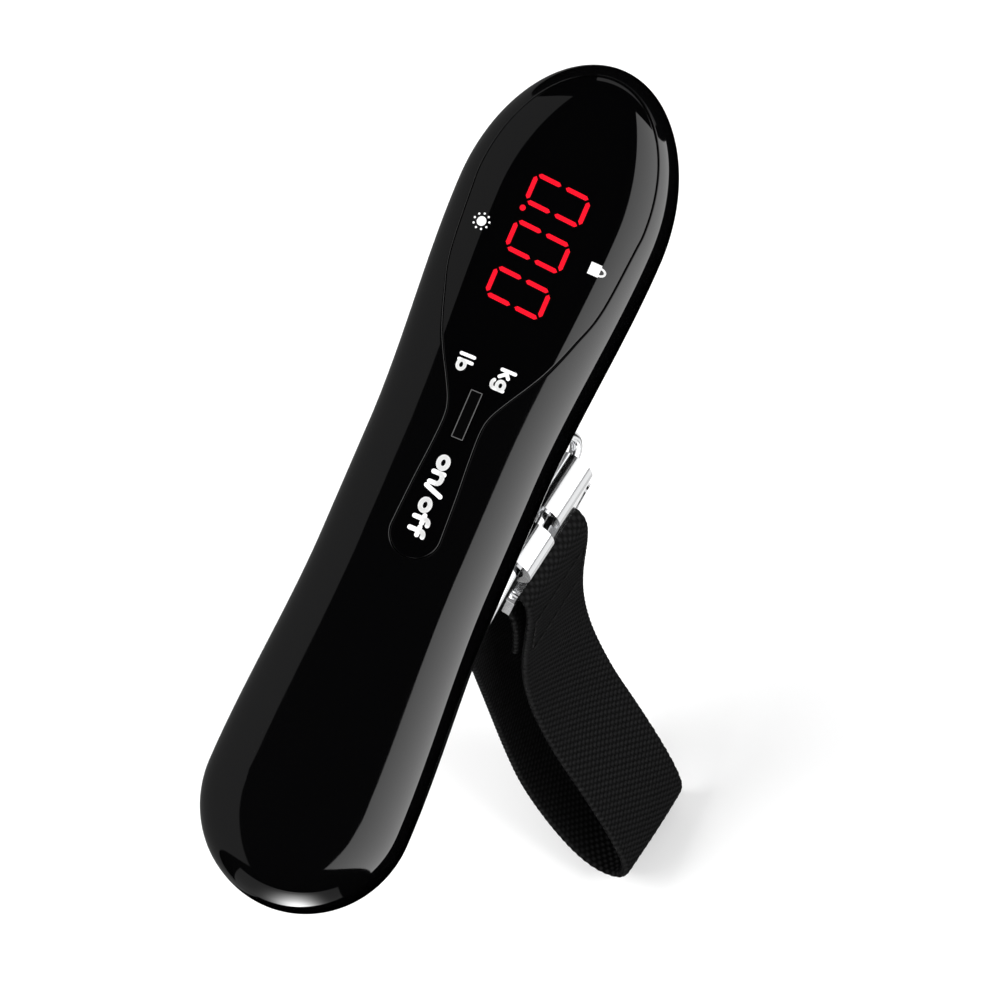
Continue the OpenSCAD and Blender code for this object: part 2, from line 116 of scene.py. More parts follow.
def profile(m, k0=0.0, h=FRONT_H, w=16.0):
    """m shares from k0 to 1, evenly spaced along the rounded section."""
    q = np.linspace(math.pi / 2, 0, 3000)
    k, z = np.cos(q) ** (2 / POWER), np.sin(q) ** (2 / POWER)
    d = np.concatenate([[0], np.cumsum(np.hypot(np.diff(k * w), np.diff(z * h)))])
    start = np.interp(k0, k, d)
    return np.interp(np.linspace(start, d[-1], m), d, k)


# ---------------------------------------------------------------- mesh helpers
def mesh_object(name, verts, faces, smooth_angle=35, custom=None):
    me = bpy.data.meshes.new(name)
    me.from_pydata([tuple(v) for v in np.asarray(verts, float) * MM], [], [tuple(f) for f in faces])
    me.validate()
    me.update()
    ob = bpy.data.objects.new(name, me)
    bpy.context.scene.collection.objects.link(ob)
    if smooth_angle is not None:
        me.polygons.foreach_set("use_smooth", [True] * len(me.polygons))
        me.set_sharp_from_angle(angle=math.radians(smooth_angle))
    if custom is not None:
        me.normals_split_custom_set_from_vertices([tuple(n) for n in custom])
    return ob


def grid_faces(rows, cols, wrap_rows=False, wrap_cols=False, flip=False):
    out = []
    for i in range(rows if wrap_rows else rows - 1):
        for j in range(cols if wrap_cols else cols - 1):
            a, b = i * cols + j, i * cols + (j + 1) % cols
            c, d = ((i + 1) % rows) * cols + j, ((i + 1) % rows) * cols + (j + 1) % cols
            out.append((a, b, d, c) if not flip else (a, c, d, b))
    return out


def join(parts):
    """One mesh from several (verts, faces) lists."""
    verts, faces, at = [], [], 0
    for v, f in parts:
        verts += [list(p) for p in v]
        faces += [tuple(i + at for i in g) for g in f]
        at += len(v)
    return verts, faces


def box_part(lo, hi):
    x0, y0, z0 = lo
    x1, y1, z1 = hi
    v = [[x0, y0, z0], [x1, y0, z0], [x1, y1, z0], [x0, y1, z0],
         [x0, y0, z1], [x1, y0, z1], [x1, y1, z1], [x0, y1, z1]]
    f = [(0, 3, 2, 1), (4, 5, 6, 7), (0, 1, 5, 4), (1, 2, 6, 5), (2, 3, 7, 6), (3, 0, 4, 7)]
    return v, f


def rod_part(x, y, z0, z1, r, n=48):
    a = np.arange(n) * 2 * math.pi / n
    v = [[x + r * math.cos(t), y + r * math.sin(t), z0] for t in a]
    v += [[x + r * math.cos(t), y + r * math.sin(t), z1] for t in a]
    f = [(i, (i + 1) % n, n + (i + 1) % n, n + i) for i in range(n)]
    f += [tuple(range(n - 1, -1, -1)), tuple(range(n, 2 * n))]
    return v, f


def boolean(ob, cutter, kind="DIFFERENCE"):
    m = ob.modifiers.new("cut", "BOOLEAN")
    m.operation, m.solver, m.object = kind, "EXACT", cutter
    deps = bpy.context.evaluated_depsgraph_get()
    made = bpy.data.meshes.new_from_object(ob.evaluated_get(deps), depsgraph=deps)
    ob.modifiers.clear()
    ob.data = made
    return ob


def face_outward(ob, merge_m=0.0, close=False):
    """Turns all faces outward; first joins points closer than merge_m and closes open edges."""
    bm = bmesh.new()
    bm.from_mesh(ob.data)
    if merge_m:
        bmesh.ops.remove_doubles(bm, verts=bm.verts, dist=merge_m)
    if close:
        bmesh.ops.holes_fill(bm, edges=[e for e in bm.edges if e.is_boundary], sides=0)
    bmesh.ops.recalc_face_normals(bm, faces=bm.faces)
    bm.to_mesh(ob.data)
    bm.free()


def resmooth(ob, angle=30):
    me = ob.data
    me.polygons.foreach_set("use_smooth", [True] * len(me.polygons))
    me.set_sharp_from_angle(angle=math.radians(angle))


def drop(ob):
    bpy.data.objects.remove(ob, do_unlink=True)


# ---------------------------------------------------------------- materials
def material(name, base, metallic=0.0, rough=0.3, coat=0.0, ior=1.5, spec=0.5, emission=None,
             emit=0.0, sheen=0.0, coat_rough=0.03):
    mat = bpy.data.materials.new(name)
    mat.use_nodes = True
    nt = mat.node_tree
    b = nt.nodes["Principled BSDF"]
    b.inputs["Base Color"].default_value = (*base, 1)
    b.inputs["Metallic"].default_value = metallic
    b.inputs["Roughness"].default_value = rough
    b.inputs["IOR"].default_value = ior
    b.inputs["Specular IOR Level"].default_value = spec
    b.inputs["Coat Weight"].default_value = coat
    b.inputs["Coat Roughness"].default_value = coat_rough
    b.inputs["Sheen Weight"].default_value = sheen
    if emission:
        b.inputs["Emission Color"].default_value = (*emission, 1)
        b.inputs["Emission Strength"].default_value = emit
    return mat, nt, b


def node(nt, kind, **values):
    n = nt.nodes.new(kind)
    for k, v in values.items():
        if k in n.inputs:
            n.inputs[k].default_value = v
        else:
            setattr(n, k, v)
    return n


def object_noise(nt, scale, detail=4.0, rough=0.55, stretch=None):
    co = node(nt, "ShaderNodeTexCoord")
    n = node(nt, "ShaderNodeTexNoise", Scale=scale, Detail=detail, Roughness=rough)
    if stretch:
        mp = node(nt, "ShaderNodeMapping")
        mp.inputs["Scale"].default_value = stretch
        nt.links.new(co.outputs["Object"], mp.inputs["Vector"])
        nt.links.new(mp.outputs["Vector"], n.inputs["Vector"])
    else:
        nt.links.new(co.outputs["Object"], n.inputs["Vector"])
    return n


def ramp(nt, source, low, high, a=0.35, b=0.65):
    r = node(nt, "ShaderNodeMapRange")
    r.inputs["From Min"].default_value, r.inputs["From Max"].default_value = a, b
    r.inputs["To Min"].default_value, r.inputs["To Max"].default_value = low, high
    nt.links.new(source, r.inputs["Value"])
    return r.outputs["Result"]


def mix_colour(nt, factor, a, b):
    m = node(nt, "ShaderNodeMix")
    m.data_type = "RGBA"
    m.inputs[6].default_value, m.inputs[7].default_value = (*a, 1), (*b, 1)
    nt.links.new(factor, m.inputs[0])
    return m.outputs[2]


def bump(nt, b, source, distance, strength=1.0, coat=False):
    n = node(nt, "ShaderNodeBump", Strength=strength, Distance=distance)
    nt.links.new(source, n.inputs["Height"])
    nt.links.new(n.outputs["Normal"], b.inputs["Normal"])
    if coat:
        nt.links.new(n.outputs["Normal"], b.inputs["Coat Normal"])
    return n


def gloss_black(name, base=(0.0009, 0.0009, 0.001), rough=(0.035, 0.075), wave=0.00002):
    """Piano-black moulding: faint orange peel, smudges and hairline rubs."""
    mat, nt, b = material(name, base, rough=0.05, spec=1.0)
    smudge = object_noise(nt, 55, 6)
    hair = object_noise(nt, 900, 3, 0.6, (0.15, 1, 1))
    add = node(nt, "ShaderNodeMath", operation="MULTIPLY_ADD")
    add.inputs[1].default_value = 0.25
    nt.links.new(hair.outputs["Fac"], add.inputs[0])
    nt.links.new(smudge.outputs["Fac"], add.inputs[2])
    nt.links.new(ramp(nt, add.outputs[0], rough[0], rough[1], 0.5, 0.85), b.inputs["Roughness"])
    tint = object_noise(nt, 20, 3)
    nt.links.new(mix_colour(nt, tint.outputs["Fac"], base, tuple(c * 1.7 for c in base)),
                 b.inputs["Base Color"])
    peel = object_noise(nt, 180, 2, 0.5)
    bump(nt, b, peel.outputs["Fac"], wave, 0.35)
    return mat


def bright_metal(name, base=(0.93, 0.935, 0.945), rough=(0.06, 0.16), scratch=(1, 12, 12), wave=0.00003):
    """Polished plated steel with faint draw lines, cloudiness and small dents."""
    mat, nt, b = material(name, base, metallic=1.0, rough=0.1)
    cloud = object_noise(nt, 140, 5)
    lines = object_noise(nt, 500, 4, 0.6, scratch)
    add = node(nt, "ShaderNodeMath", operation="MULTIPLY_ADD")
    add.inputs[1].default_value = 0.5
    nt.links.new(lines.outputs["Fac"], add.inputs[0])
    nt.links.new(cloud.outputs["Fac"], add.inputs[2])
    nt.links.new(ramp(nt, add.outputs[0], rough[0], rough[1], 0.55, 1.0), b.inputs["Roughness"])
    nt.links.new(mix_colour(nt, cloud.outputs["Fac"], tuple(c * 0.93 for c in base), base),
                 b.inputs["Base Color"])
    dent = object_noise(nt, 260, 3)
    bump(nt, b, dent.outputs["Fac"], wave, 0.4)
    return mat


def moulded(name, base, rough=(0.35, 0.6), grain=0.00003, scale=1500, ior=1.5):
    mat, nt, b = material(name, base, rough=0.45, ior=ior)
    fine = object_noise(nt, scale, 3)
    cloud = object_noise(nt, 120, 4)
    nt.links.new(ramp(nt, cloud.outputs["Fac"], *rough), b.inputs["Roughness"])
    nt.links.new(mix_colour(nt, cloud.outputs["Fac"], tuple(c * 0.8 for c in base),
                            tuple(min(1, c * 1.15) for c in base)),
                 b.inputs["Base Color"])
    bump(nt, b, fine.outputs["Fac"], grain, 0.5)
    return mat


def lit(name, colour, strength, base):
    """Lit print or segment: a little unevenness in the glow."""
    mat, nt, b = material(name, base, rough=0.3, spec=0.1, emission=colour, emit=strength)
    n = object_noise(nt, 700, 2)
    nt.links.new(ramp(nt, n.outputs["Fac"], strength * 0.88, strength, 0.3, 0.7),
                 b.inputs["Emission Strength"])
    r = object_noise(nt, 1500, 2)
    nt.links.new(ramp(nt, r.outputs["Fac"], 0.25, 0.4), b.inputs["Roughness"])
    return mat


MAT = {
    "shell": gloss_black("shell_gloss"),
    "panel": gloss_black("panel_gloss", (0.0006, 0.0006, 0.0007), (0.02, 0.045), 0.000008),
    "key": gloss_black("key_gloss", (0.0011, 0.0011, 0.0012), (0.05, 0.09)),
    "chrome": bright_metal("chrome"),
    "steel": bright_metal("screw_steel", (0.62, 0.62, 0.64), (0.22, 0.4), (1, 1, 8)),
    "contact": bright_metal("contact_metal", (0.74, 0.72, 0.66), (0.2, 0.34), (1, 6, 1)),
    "alu": bright_metal("beam_aluminium", (0.7, 0.71, 0.73), (0.28, 0.42), (1, 20, 20)),
    "module": moulded("module_black", (0.02, 0.02, 0.02)),
    "board": moulded("board_green", (0.015, 0.12, 0.04), (0.25, 0.4), 0.00002, 700),
    "gauge": moulded("gauge_foil", (0.6, 0.33, 0.09), (0.3, 0.5), 0.00002, 1200),
    "sleeve": moulded("cell_sleeve", (0.02, 0.09, 0.3), (0.2, 0.32), 0.00001, 600),
    "lead_red": moulded("lead_red", (0.5, 0.02, 0.02), (0.35, 0.5)),
    "lead_black": moulded("lead_black", (0.015, 0.015, 0.015), (0.35, 0.5)),
    "digit": lit("digit_red", (1.0, 0.008, 0.022), 1.0, (0.22, 0.0, 0.004)),
    "print": lit("print_white", (0.9, 0.9, 0.89), 0.35, (0.6, 0.6, 0.6)),
    "line": lit("key_line", (0.2, 0.2, 0.2), 0.1, (0.07, 0.07, 0.07)),
}

NODE_MATERIAL = {
    "digit_module": "module", "indicator_leds": "print", "unit_key": "key", "unit_switch": "contact",
    "touch_spring": "contact", "main_board": "board", "board_chips": "module", "load_beam": "alu",
    "strain_gauges": "gauge", "beam_screws": "steel", "load_hook": "chrome", "load_hook_nut": "steel",
    "shell_screws": "steel", "battery_left": "sleeve", "battery_right": "sleeve",
    "battery_springs": "contact", "battery_tabs": "contact", "battery_bridge": "contact",
    "battery_lead_red": "lead_red", "battery_lead_black": "lead_black", "load_ring": "chrome",
    "hook_plate": "chrome", "anchor_plate": "chrome",
}
for name, key in NODE_MATERIAL.items():
    ob = frame["nodes"][name]
    ob.data.materials.clear()
    ob.data.materials.append(MAT[key])


def finish_piece(ob, body, mat, slot, *nodes):
    ob.data.materials.clear()
    ob.data.materials.append(mat)
    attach(ob, body)
    if nodes:
        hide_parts(*nodes)
    return ob


# ---------------------------------------------------------------- panel outline
HEAD_CENTRE, HEAD_LONG, HEAD_HALF = 50.0, 23.0, 14.8
STEM_CENTRE, STEM_R = -10.1, 4.3
KEY_X = 11.3
PANEL_SIDE = np.array([[50, 14.8], [36.2, 13.6], [29.2, 11.65], [23.6, 9.65], [19.8, 7.8], [15.6, 5.4],
                       [12.4, 3.8], [9.6, 3.25], [4.4, 3.42], [-2.2, 3.9], [-10.1, 4.3]])


def catmull(points, k):
    p = np.vstack([2 * points[0] - points[1], points, 2 * points[-1] - points[-2]])
    out = []
    for i in range(1, len(p) - 2):
        a, b, c, d = p[i - 1], p[i], p[i + 1], p[i + 2]
        for u in np.arange(k) / k:
            out.append(0.5 * (2 * b + (c - a) * u + (2 * a - 5 * b + 4 * c - d) * u * u
                              + (3 * b - a - 3 * c + d) * u ** 3))
    out.append(p[-2])
    return np.array(out)


def panel_half(g, n):
    """n points along the panel's +Y edge, from its tail end to its tip, grown by g."""
    stem = [[STEM_CENTRE + (STEM_R + g) * math.cos(a), (STEM_R + g) * math.sin(a)]
            for a in np.linspace(math.pi, math.pi / 2, 60)[:-1]]
    side = catmull(PANEL_SIDE[::-1], 24)
    side = np.array([[x, y + g] for x, y in side])
    head = [[HEAD_CENTRE + (HEAD_LONG + g) * math.cos(a), (HEAD_HALF + g) * math.sin(a)]
            for a in np.linspace(math.pi / 2, 0, 160)[1:]]
    return evenly(np.vstack([stem, side, head]), n)


def lift(p, dz=0.0, h=FRONT_H):
    p = np.asarray(p, float)
    return np.column_stack([p[:, 0], p[:, 1], height(p[:, 0], p[:, 1], h) + dz])


def surface_normal(p, h=FRONT_H):
    e = 1e-3
    x, y = p[:, 0], p[:, 1]
    k = np.clip(share(x, y), 0, 1)
    kx = (share(x + e, y) - share(x - e, y)) / (2 * e)
    ky = (share(x, y + e) - share(x, y - e)) / (2 * e)
    z = np.maximum((1 - k ** POWER) ** (1 / POWER), 1e-4)
    # implicit surface k^p + (z/h)^p = 1
    n = np.column_stack([k ** (POWER - 1) * kx, k ** (POWER - 1) * ky, z ** (POWER - 1) / abs(h)])
    n /= np.maximum(np.linalg.norm(n, axis=1, keepdims=True), 1e-9)
    if h < 0:
        n[:, 2] *= -1
    return n


# ---------------------------------------------------------------- front shell
def front_shell():
    m, gap, round_r, wall = 40, 0.16, 0.14, 1.5
    # outline partner of each inner point: the tail end fans out, the rest keeps its x
    x_join = -10.0
    fine = panel_half(gap + round_r, 4000)
    inner = np.vstack([evenly(fine[fine[:, 0] < x_join], 170), evenly(fine[fine[:, 0] >= x_join], 230)])
    tail = np.vstack([
        [[TAIL_X + TAIL_A * math.cos(a), TAIL_W * math.sin(a)]
         for a in np.linspace(math.pi, math.pi / 2, 300)[:-1]],
        [[x, float(side_w(x))] for x in np.linspace(TAIL_X, x_join, 300)]])
    is_tail = inner[:, 0] < x_join
    is_head = inner[:, 0] > HEAD_CENTRE
    outer = np.zeros_like(inner)
    outer[is_tail] = evenly(tail, int(is_tail.sum()) + 1)[:-1]
    mid = ~is_tail & ~is_head
    xs = inner[mid, 0]
    xs = x_join + (xs - x_join) * (HEAD_X - x_join) / (HEAD_CENTRE - x_join)
    outer[mid] = np.column_stack([xs, side_w(xs)])
    ang = np.arctan2(inner[is_head, 1] / (HEAD_HALF + gap + round_r),
                     (inner[is_head, 0] - HEAD_CENTRE) / (HEAD_LONG + gap + round_r))
    outer[is_head] = np.column_stack([HEAD_X + HEAD_A * np.cos(ang), HEAD_W * np.sin(ang)])
    # close the loop with the -Y half
    flip = np.array([1, -1])
    inner = np.vstack([inner, (inner * flip)[-2:0:-1]])
    outer = np.vstack([outer, (outer * flip)[-2:0:-1]])
    n = len(inner)
    ts = np.linspace(0, 1, 800)
    line = inner[:, None, :] + ts[None, :, None] * (outer - inner)[:, None, :]
    ks = share(line[..., 0], line[..., 1])
    rows = []
    for q in np.linspace(0, 1, m):
        t_at = np.zeros(n)
        for j in range(n):
            k_line = np.maximum.accumulate(ks[j])
            k_want = float(np.interp(q, np.linspace(0, 1, m), profile(m, k_line[0])))
            t_at[j] = np.interp(k_want, k_line, ts) if q > 0 else 0.0
        if q == 1:
            t_at[:] = 1.0
        rows.append(inner + t_at[:, None] * (outer - inner))
    outside = [lift(r) for r in rows]
    normals = [surface_normal(r) for r in outside]
    outside[-1][:, 2] = 0.04
    # rounded edge of the panel's recess
    along = np.roll(inner, -1, 0) - np.roll(inner, 1, 0)
    toward = np.column_stack([-along[:, 1], along[:, 0]])
    toward /= np.linalg.norm(toward, axis=1, keepdims=True)
    pre, pre_n = [], []
    top0 = lift(inner)
    n0 = surface_normal(top0)
    for a in (90, 60, 30):
        s, c = math.sin(math.radians(a)), math.cos(math.radians(a))
        p = top0.copy()
        p[:, :2] -= toward * round_r * s
        p[:, 2] -= round_r * (1 - c)
        nn = n0 * c + np.column_stack([-toward, np.zeros(n)]) * s
        pre.append(p)
        pre_n.append(nn / np.linalg.norm(nn, axis=1, keepdims=True))
    low = pre[0].copy()
    low[:, 2] -= 1.25
    side_n = np.column_stack([-toward, np.zeros(n)])
    rows3 = [low] + pre + outside
    norms = [side_n] + pre_n + normals
    # parting lip, then the inner surface back to the recess
    centre = np.column_stack([np.clip(outer[:, 0], TAIL_X, HEAD_X), np.zeros(n)])
    lip = outside[-1].copy()
    lip[:, :2] = centre + (outer - centre) * (1 - 0.25 / 17)
    lip[:, 2] = 0.0
    rows3.append(lip)
    norms.append(np.tile([0, 0, -1.0], (n, 1)))
    for r, nn in list(zip(outside, normals))[::-1]:
        p = r - nn * wall
        p[:, 2] = np.maximum(p[:, 2], 0.02)
        rows3.append(p)
        norms.append(-nn)
    verts = np.vstack(rows3)
    ob = mesh_object("front_shell_skin", verts, grid_faces(len(rows3), n, wrap_rows=True, wrap_cols=True),
                     smooth_angle=None)
    resmooth(ob, 50)
    face_outward(ob)
    return finish_piece(ob, "handle", MAT["shell"], "shell_gloss", "front_shell")


front_shell()


# ---------------------------------------------------------------- display panel
def panel_skin():
    n, m = 300, 61
    round_r, thick = 0.12, 1.2
    inner = panel_half(-round_r, n)
    across = np.sin(np.linspace(-math.pi / 2, math.pi / 2, m))
    top = []
    for (x, y) in inner:
        top.append(lift(np.column_stack([np.full(m, x), across * max(y, 0.004)])))
    top = np.array(top)                       # n by m by 3
    verts = top.reshape(-1, 3)
    faces = grid_faces(n, m, flip=True)
    # rim loop: along +Y edge, round the tip, back along the -Y edge
    loop = [(i, m - 1) for i in range(n)] + [(n - 1, j) for j in range(m - 2, 0, -1)]
    loop += [(i, 0) for i in range(n - 1, -1, -1)] + [(0, j) for j in range(1, m - 1)]
    ids = [i * m + j for i, j in loop]
    base = verts[ids]
    nxt, prv = np.roll(base, -1, 0), np.roll(base, 1, 0)
    tan = (nxt - prv)[:, :2]
    tan /= np.maximum(np.linalg.norm(tan, axis=1, keepdims=True), 1e-9)
    out = np.column_stack([-tan[:, 1], tan[:, 0]])
    last = ids
    verts = [list(v) for v in verts]
    for a in (30, 60, 90):
        s, c = math.sin(math.radians(a)), math.cos(math.radians(a))
        ring = base.copy()
        ring[:, :2] += out * round_r * s
        ring[:, 2] -= round_r * (1 - c)
        start = len(verts)
        verts += [list(v) for v in ring]
        now = list(range(start, start + len(ids)))
        faces += [(last[i], now[i], now[(i + 1) % len(ids)], last[(i + 1) % len(ids)])
                  for i in range(len(ids))]
        last = now
    bottom = np.array([verts[i] for i in last])
    bottom[:, 2] -= thick
    start = len(verts)
    verts += [list(v) for v in bottom]
    now = list(range(start, start + len(ids)))
    faces += [(last[i], now[i], now[(i + 1) % len(ids)], last[(i + 1) % len(ids)])
              for i in range(len(ids))]
    # underside, a copy of the top grid lowered, joined to the rim's lower loop
    under = top.reshape(-1, 3).copy()
    under[:, 2] -= thick + round_r
    start = len(verts)
    verts += [list(v) for v in under]
    faces += [tuple(start + i for i in f[::-1]) for f in grid_faces(n, m, flip=True)]
    uids = [start + i for i in ids]
    faces += [(now[i], uids[i], uids[(i + 1) % len(ids)], now[(i + 1) % len(ids)])
              for i in range(len(ids))]
    ob = mesh_object("display_panel_skin", verts, faces, smooth_angle=None)
    face_outward(ob, merge_m=2e-6)
    kl, kw = 8.8 + 0.26, 2.3 + 0.26
    v, f = box_part([KEY_X - kl / 2, -kw / 2, 5], [KEY_X + kl / 2, kw / 2, 11])
    cutter = mesh_object("cutter", v, f, None)
    boolean(ob, cutter)
    drop(cutter)
    resmooth(ob, 50)
    return finish_piece(ob, "handle", MAT["panel"], "panel_gloss", "display_panel")


panel_skin()


# ---------------------------------------------------------------- rear shell and battery cover
def cap_solid(name, h, wall, m=46, n=420):
    """Closed rounded cap below the seam, outside and inside surfaces joined at the rim."""
    loop = outline(n)
    centre = np.column_stack([np.clip(loop[:, 0], TAIL_X, HEAD_X), np.zeros(n)])
    ks = profile(m, 0.0, abs(h))
    ks[0] = 0.004
    rows = [centre + k * (loop - centre) for k in ks]
    outside = [lift(r, 0, h) for r in rows]
    normals = [surface_normal(r, h) for r in outside]
    outside[-1][:, 2] = -0.04
    lip = outside[-1].copy()
    lip[:, :2] = centre + (loop - centre) * (1 - 0.25 / 17)
    lip[:, 2] = 0.0
    inside = []
    for r, nn in list(zip(outside, normals))[::-1]:
        p = r - nn * wall
        p[:, 2] = np.minimum(p[:, 2], -0.02)
        inside.append(p)
    rows3 = outside + [lip] + inside
    verts = np.vstack(rows3)
    faces = grid_faces(len(rows3), n, wrap_cols=True, flip=True)
    ob = mesh_object(name, verts, faces, None)
    face_outward(ob, merge_m=1e-5, close=True)
    return ob


SCREWS = [[52, 11.9], [52, -11.9], [-16, 10.7], [-16, -10.7]]
COVER_X, COVER_HALF, FIT = -20.0, 11.5, 0.13


def rear_parts():
    rear = cap_solid("rear_shell_skin", -REAR_H, 1.6)
    cover = rear.copy()
    cover.data = rear.data.copy()
    cover.name = "battery_cover_skin"
    bpy.context.scene.collection.objects.link(cover)
    cuts = [box_part([COVER_X - 80, -COVER_HALF - FIT, -REAR_H - 3],
                     [COVER_X + FIT, COVER_HALF + FIT, 3])]
    cuts += [rod_part(x, y, -REAR_H - 3, -5.0, 2.2) for x, y in SCREWS]
    cuts += [rod_part(4.0, 0, -REAR_H - 3, -9.0, 3.0, 64)]
    v, f = join(cuts)
    cutter = mesh_object("cutter", v, f, None)
    boolean(rear, cutter)
    drop(cutter)
    v, f = box_part([COVER_X - 80, -COVER_HALF, -REAR_H - 3], [COVER_X, COVER_HALF, -0.15])
    cutter = mesh_object("cutter", v, f, None)
    boolean(cover, cutter, "INTERSECT")
    drop(cutter)
    for ob in (rear, cover):
        resmooth(ob, 38)
    # bulkheads at both ends of the battery bay
    extra = [box_part([-68.6, -13.0, -8.8], [-67.2, 13.0, -0.2]),
             box_part([COVER_X + 0.5, -13.2, -10.2], [COVER_X + 1.7, 13.2, -0.2])]
    extra += [rod_part(x, y, -5.0, -0.2, 2.4) for x, y in SCREWS]
    v, f = join(extra)
    ribs = mesh_object("rear_shell_ribs", v, f, 30)
    bevel(ribs, 0.15)
    finish_piece(ribs, "handle", MAT["module"], "shell_gloss")
    finish_piece(rear, "handle", MAT["shell"], "shell_gloss", "rear_shell")
    finish_piece(cover, "battery_cover", MAT["shell"], "shell_gloss", "battery_cover")


def bevel(ob, width, segments=2):
    bm = bmesh.new()
    bm.from_mesh(ob.data)
    sharp = [e for e in bm.edges if e.is_manifold and e.calc_face_angle(0) > 0.6]
    bmesh.ops.bevel(bm, geom=sharp, offset=width * MM, segments=segments, affect="EDGES",
                    clamp_overlap=True)
    bm.to_mesh(ob.data)
    bm.free()
    resmooth(ob, 40)
    return ob


rear_parts()

# grip ridges on the battery cover, a generic row of raised bars
parts = []
for i in range(6):
    x = -27 - i * 2.2
    half = 5.2 - 0.35 * i
    ys = np.linspace(-half, half, 17)
    bar = []
    for s, dz in ((-0.45, 0.05), (-0.25, -0.22), (0.25, -0.22), (0.45, 0.05)):
        bar.append(np.column_stack([np.full(17, x + s), ys,
                                    -height(np.full(17, x), ys, REAR_H) * 1.0 + dz]))
    bar = np.array(bar)
    taper = 1 - (np.abs(ys) / half) ** 8
    bar[1, :, 2] += 0.22 * (1 - taper)
    bar[2, :, 2] += 0.22 * (1 - taper)
    v = np.vstack([bar.reshape(-1, 3)])
    f = grid_faces(4, 17)
    f += [tuple(j for j in range(0, 17)) + tuple(3 * 17 + j for j in range(16, -1, -1))]
    f += [(0, 17, 34, 51), (16, 33, 50, 67)[::-1]]
    parts.append((v, f))
v, f = join(parts)
ridges = mesh_object("battery_cover_ridges", v, f, None)
face_outward(ridges)
resmooth(ridges, 60)
finish_piece(ridges, "battery_cover", MAT["shell"], "shell_gloss")


# ---------------------------------------------------------------- printed and lit marks
def stroke_part(points, width, closed=False, thick=0.03, dz=0.015, n=10):
    """A flat stroke with round ends along points, lying on the face. Points are row x, y."""
    p = np.asarray(points, float)
    r = width / 2
    segs = list(zip(p[:-1], p[1:])) + ([(p[-1], p[0])] if closed else [])
    out = []
    for a, b in segs:
        d = b - a
        L = np.linalg.norm(d)
        d = d / max(L, 1e-9)
        s = np.array([-d[1], d[0]])
        th = np.linspace(0, math.pi, n)
        ring = [b + r * (math.cos(t) * -s + math.sin(t) * d) for t in th]
        ring += [a + r * (math.cos(t) * s - math.sin(t) * d) for t in th]
        out.append(plate_part(np.array(ring), thick, dz))
    return out


def plate_part(ring, thick=0.03, dz=0.015, rings=3):
    """Thin plate that follows the face inside the given outline."""
    ring = np.asarray(ring, float)
    dense = []
    for a, b in zip(ring, np.roll(ring, -1, 0)):
        k = max(1, int(np.ceil(np.linalg.norm(b - a) / 0.5)))
        dense += [a + (b - a) * i / k for i in range(k)]
    ring = np.array(dense)
    n, mid = len(ring), ring.mean(0)
    tops = [lift(mid + (ring - mid) * (1 - i / rings), dz) for i in range(rings)]
    low = lift(ring, dz - thick)
    v = np.vstack(tops + [lift([mid], dz), low])
    c = rings * n
    f = [(i * n + j, i * n + (j + 1) % n, (i + 1) * n + (j + 1) % n, (i + 1) * n + j)
         for i in range(rings - 1) for j in range(n)]
    f += [((rings - 1) * n + j, (rings - 1) * n + (j + 1) % n, c) for j in range(n)]
    f += [(j, c + 1 + j, c + 1 + (j + 1) % n, (j + 1) % n) for j in range(n)]
    f += [tuple(range(c + n, c, -1))]
    return v, f


def mark(name, parts, mat, slot, nodes=()):
    v, f = join(parts)
    ob = mesh_object(name, v, f, None)
    face_outward(ob)
    finish_piece(ob, "handle", mat, slot, *nodes)
    return ob


def placed(points, x, y, wide, tall):
    """Letter coordinates (u along the reading direction, v up) to row x, y."""
    p = np.asarray(points, float)
    return np.column_stack([x - p[:, 0] * wide, y - p[:, 1] * tall])


def arc(cx, cy, r, a0, a1, n=20, ry=None):
    t = np.radians(np.linspace(a0, a1, n))
    return np.column_stack([cx + r * np.cos(t), cy + (ry or r) * np.sin(t)])


# letters as strokes: unit height is the x-height 1.0
LETTERS = {
    "o": (1.05, [(arc(0.5, 0.5, 0.42, 0, 360, 28), False)]),
    "n": (1.0, [([[0.08, 0], [0.08, 1]], False),
                (np.vstack([arc(0.46, 0.58, 0.38, 180, 0, 14), [[0.84, 0]]]), False)]),
    "f": (0.72, [(np.vstack([[[0.25, 0]], arc(0.55, 1.12, 0.3, 180, 80, 10)]), False),
                 ([[0.0, 0.86], [0.58, 0.86]], False)]),
    "/": (0.7, [([[0.0, -0.12], [0.45, 1.45]], False)]),
    "l": (0.38, [([[0.08, 0], [0.08, 1.5]], False)]),
    "b": (1.0, [([[0.08, 0], [0.08, 1.5]], False), (arc(0.48, 0.46, 0.4, 0, 360, 26), False)]),
    "k": (0.9, [([[0.08, 0], [0.08, 1.5]], False), ([[0.1, 0.42], [0.7, 0.98]], False),
                ([[0.34, 0.6], [0.76, 0.0]], False)]),
    "g": (1.0, [(arc(0.46, 0.5, 0.4, 0, 360, 26), False),
                (np.vstack([[[0.86, 0.95]], arc(0.46, -0.1, 0.4, 0, -140, 14)]), False)]),
}


def word(text, x, y, size, stretch, weight):
    """Text that starts at x, reads towards the tail and stands on y."""
    out, at = [], 0.0
    for c in text:
        wide, strokes = LETTERS[c]
        for pts, closed in strokes:
            p = np.asarray(pts, float) + [at, 0]
            out += stroke_part(placed(p, x, y, size * stretch, size), weight, closed)
        at += wide + 0.16
    return out


